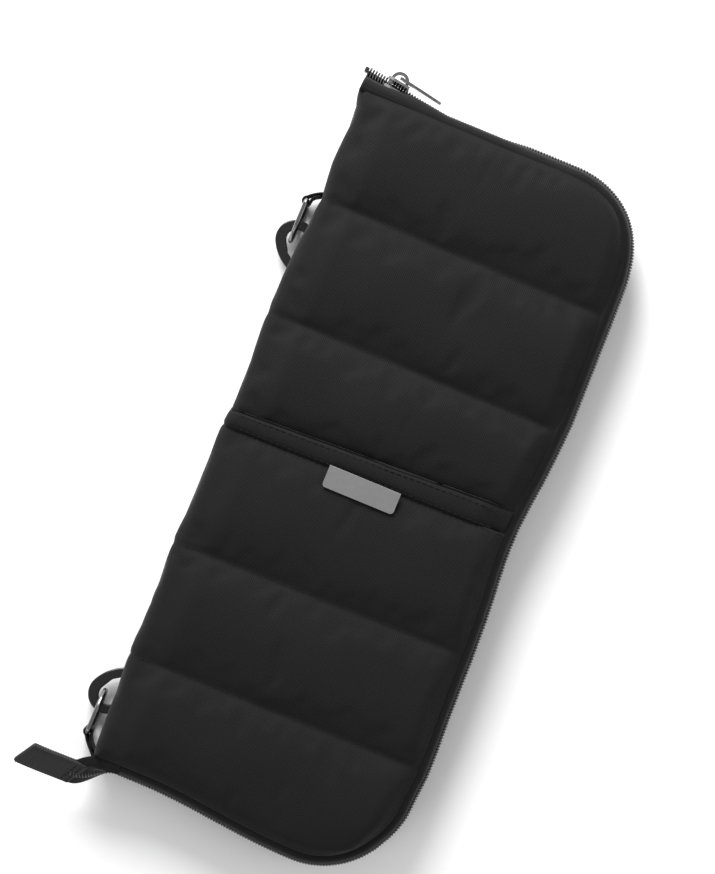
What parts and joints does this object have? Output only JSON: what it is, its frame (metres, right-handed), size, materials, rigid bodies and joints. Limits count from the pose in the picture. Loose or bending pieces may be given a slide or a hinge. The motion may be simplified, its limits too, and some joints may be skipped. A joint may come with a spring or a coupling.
{
  "type": "drum stick bag",
  "caption": "Book-style padded drum stick bag with quilted covers, a zip round three sides, a front pocket, D-rings and a clip-on shoulder strap folded beneath.",
  "frame": {"origin": "on the surface the bag lies on, under the middle of its box", "axes": "+Z out of the front cover, +Y along the bag towards the slider's end, +X from the spine to the zip side"},
  "size_m": [0.2435, 0.4955, 0.0457],
  "materials": {
    "quilted_nylon": "matt woven",
    "foam": "closed cell",
    "lining": "smooth woven",
    "webbing": "ribbed webbing",
    "zip_tape": "woven tape",
    "zip_coil": "nylon coil",
    "zip_metal": "dark nickel",
    "puller_metal": "bright nickel",
    "ring_metal": "black nickel",
    "hook_plastic": "moulded acetal",
    "label": "metallic grey"
  },
  "bodies": {
    "root": {"back_shell": "quilted_nylon", "back_foam": "foam", "back_lining": "lining", "spine_panel": "quilted_nylon", "spine_lining": "lining", "stick_pocket_sheet": "lining", "stick_pocket_gusset": "lining", "stick_pocket_dividers": "lining", "stick_pocket_hem": "lining", "zip_tape_back": "zip_tape", "zip_coil_back": "zip_coil", "zip_stop_back": "zip_coil", "zip_tail": "zip_tape", "zip_end_tab": "webbing", "upper_ring_tab": "webbing", "lower_ring_tab": "webbing", "upper_swivel_eye": "hook_plastic", "lower_swivel_eye": "hook_plastic", "strap_end_upper": "webbing", "strap_end_lower": "webbing", "strap_hank": "webbing"},
    "front_cover": {"front_shell": "quilted_nylon", "front_foam": "foam", "front_lining": "lining", "front_pocket": "quilted_nylon", "front_pocket_hem": "quilted_nylon", "label": "label", "zip_tape_front": "zip_tape", "zip_coil_front": "zip_coil", "zip_stop_front": "zip_coil"},
    "zip_slider": {"slider_body": "zip_metal", "slider_bridge": "zip_metal"},
    "zip_puller": {"puller": "puller_metal"},
    "strap_adjuster": {"strap_adjuster": "hook_plastic"},
    "upper_ring": {"upper_d_ring": "ring_metal"},
    "upper_hook": {"upper_hook": "hook_plastic", "upper_gate_pin": "zip_metal"},
    "upper_gate": {"upper_hook_gate": "hook_plastic"},
    "lower_ring": {"lower_d_ring": "ring_metal"},
    "lower_hook": {"lower_hook": "hook_plastic", "lower_gate_pin": "zip_metal"},
    "lower_gate": {"lower_hook_gate": "hook_plastic"}
  },
  "joints": [
    {"name": "cover_hinge", "type": "hinge", "parent": "root", "child": "front_cover", "pos_m": [-0.0799, 0, 0.0418], "axis": [0, -1, 0], "range_deg": [0, 180]},
    {"name": "zip_slide", "type": "slide", "parent": "root", "child": "zip_slider", "axis": [0.99, -0.1409, 0], "range_m": [0, 0.026]},
    {"name": "puller_pivot", "type": "hinge", "parent": "zip_slider", "child": "zip_puller", "pos_m": [-0.05824, 0.24367, 0.0239], "axis": [0, 0, 1], "range_deg": [0, 150]},
    {"name": "upper_ring_turn", "type": "hinge", "parent": "root", "child": "upper_ring", "pos_m": [-0.0846, 0.1501, 0.0157], "axis": [0, 0, 1], "range_deg": [-1.5, 1.5]},
    {"name": "upper_hook_swivel", "type": "hinge", "parent": "root", "child": "upper_hook", "pos_m": [-0.0825, 0.1251, 0.00755], "axis": [-0.5, 0.866, 0], "range_deg": [-3, 3]},
    {"name": "upper_gate_hinge", "type": "hinge", "parent": "upper_hook", "child": "upper_gate", "pos_m": [-0.06663, 0.11741, 0.00755], "axis": [0, 0, 1], "range_deg": [0, 20], "stiffness_Nm_per_rad": 0.01, "springref_deg": -8.59},
    {"name": "lower_ring_turn", "type": "hinge", "parent": "root", "child": "lower_ring", "pos_m": [-0.0846, -0.2114, 0.0157], "axis": [0, 0, -1], "range_deg": [-1.5, 1.5]},
    {"name": "lower_hook_swivel", "type": "hinge", "parent": "root", "child": "lower_hook", "pos_m": [-0.0825, -0.1864, 0.00755], "axis": [-0.5, -0.866, 0], "range_deg": [-3, 3]},
    {"name": "lower_gate_hinge", "type": "hinge", "parent": "lower_hook", "child": "lower_gate", "pos_m": [-0.06663, -0.17871, 0.00755], "axis": [0, 0, -1], "range_deg": [0, 20], "stiffness_Nm_per_rad": 0.01, "springref_deg": -8.59},
    {"name": "adjuster_slide", "type": "slide", "parent": "root", "child": "strap_adjuster", "axis": [0.4968, -0.8605, -0.1132], "range_m": [0, 0.012]}
  ]
}
